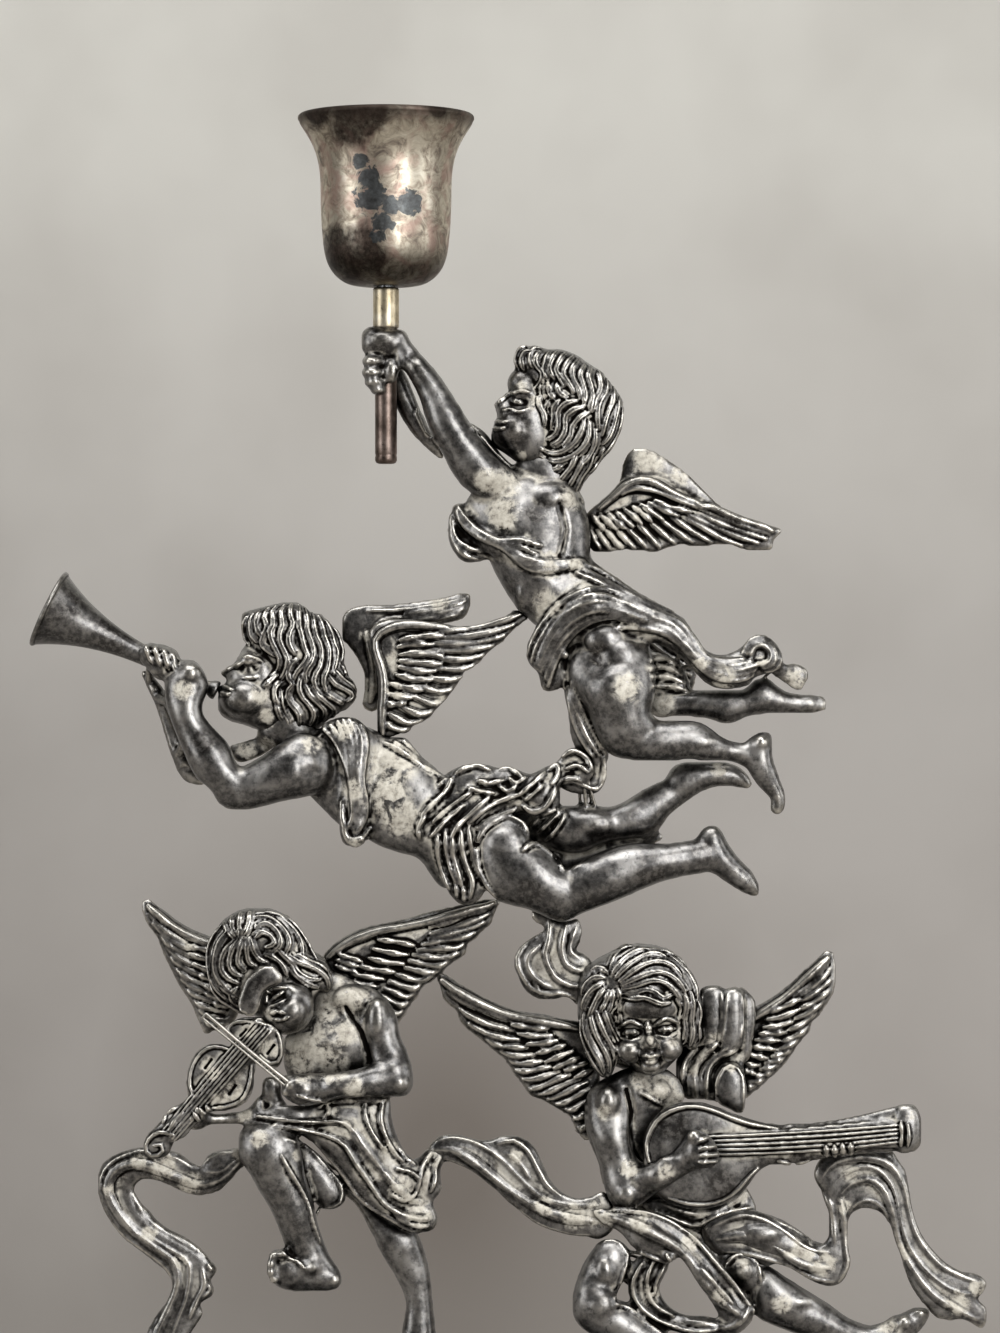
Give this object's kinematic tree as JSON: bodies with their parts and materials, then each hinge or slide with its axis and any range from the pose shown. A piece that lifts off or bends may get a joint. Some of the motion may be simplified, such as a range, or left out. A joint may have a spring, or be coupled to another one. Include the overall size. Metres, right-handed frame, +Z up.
{
  "type": "cherub candle holder",
  "caption": "Free-standing candle holder of winged cherub figures, wings and ribbons cast in silver-plated metal, lifting a bell-shaped candle cup on a stem above a weighted round foot.",
  "frame": {"origin": "centre of the foot's underside, on the surface that the object stands on", "axes": "+Z up, the figures' front faces -Y, +X to the viewer's right"},
  "size_m": [0.1912, 0.12, 0.2974],
  "materials": {
    "silver_casting": "tarnished silver plate over a brass casting, rubbed bright on high spots",
    "silver_cup": "smooth spun cup in tarnished silver plate",
    "worn_brass": "turned brass with the plating worn thin",
    "zinc_steel": "zinc-plated screws",
    "iron": "as cast",
    "felt": "green baize"
  },
  "bodies": {
    "stand": {"cloud_mound": "silver_casting", "crest_ribbon": "silver_casting", "cup_screw": "zinc_steel", "foot_dome": "silver_casting", "foot_felt": "felt", "foot_screw_1": "zinc_steel", "foot_screw_2": "zinc_steel", "foot_screw_3": "zinc_steel", "foot_weight": "iron", "left_ribbon": "silver_casting", "lute": "silver_casting", "lute_cherub": "silver_casting", "lute_cherub_left_wing": "silver_casting", "lute_cherub_mantle": "silver_casting", "lute_cherub_right_wing": "silver_casting", "middle_ribbon": "silver_casting", "right_ribbon": "silver_casting", "torch_cherub": "silver_casting", "torch_cherub_far_wing": "silver_casting", "torch_cherub_near_wing": "silver_casting", "torch_stem": "worn_brass", "trumpet": "silver_casting", "trumpet_cherub": "silver_casting", "trumpet_cherub_far_wing": "silver_casting", "trumpet_cherub_near_wing": "silver_casting", "violin": "silver_casting", "violin_bow": "silver_casting", "violin_cherub": "silver_casting", "violin_cherub_left_wing": "silver_casting", "violin_cherub_right_wing": "silver_casting"},
    "cup": {"candle_cup": "silver_cup"}
  },
  "joints": [
    {"name": "cup_turn", "type": "hinge", "parent": "stand", "child": "cup", "pos_m": [-0.0228, 0, 0.2628], "axis": [0, 0, 1], "continuous": true}
  ]
}
